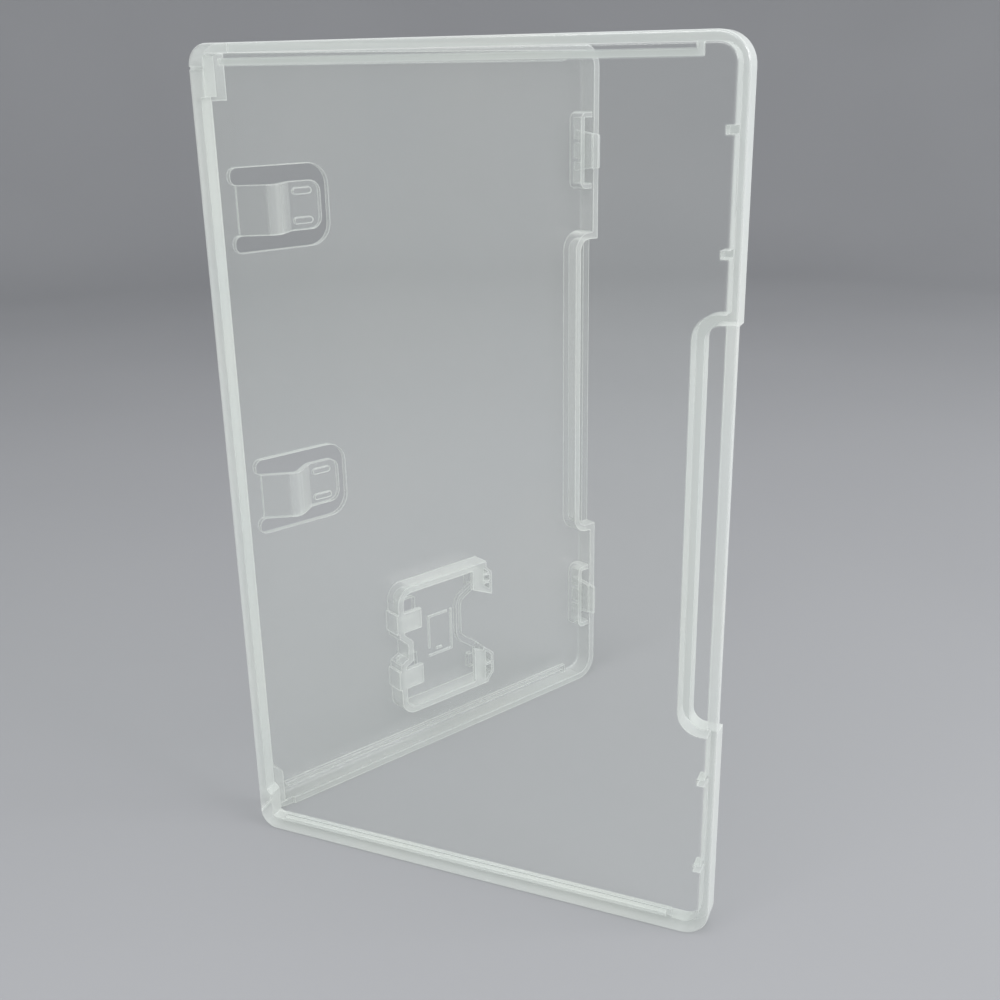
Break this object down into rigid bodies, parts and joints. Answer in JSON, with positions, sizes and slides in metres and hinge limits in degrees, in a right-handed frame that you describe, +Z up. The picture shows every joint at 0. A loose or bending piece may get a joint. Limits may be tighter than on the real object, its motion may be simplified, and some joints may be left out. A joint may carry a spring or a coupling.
{
  "type": "game card case",
  "caption": "Slim clear clamshell case that opens like a book, with a snap-in game card bay, springy booklet tongues, edge latches and a thumb recess.",
  "frame": {"origin": "middle of the tray's bottom edge, on the surface the case stands on", "axes": "+Z up along the spine, +X along the tray from the spine to the closing edge, +Y out of the tray's back; the lid opens towards -Y"},
  "size_m": [0.1094, 0.1018, 0.17],
  "materials": {
    "clear_plastic": "clear, slightly hazy"
  },
  "bodies": {
    "tray": {"tray": "clear_plastic"},
    "lid": {"lid": "clear_plastic"}
  },
  "joints": [
    {"name": "spine_hinge", "type": "hinge", "parent": "tray", "child": "lid", "pos_m": [-0.0527, -0.00308, 0.085], "axis": [0, 0, -1], "range_deg": [-63, 117]}
  ]
}
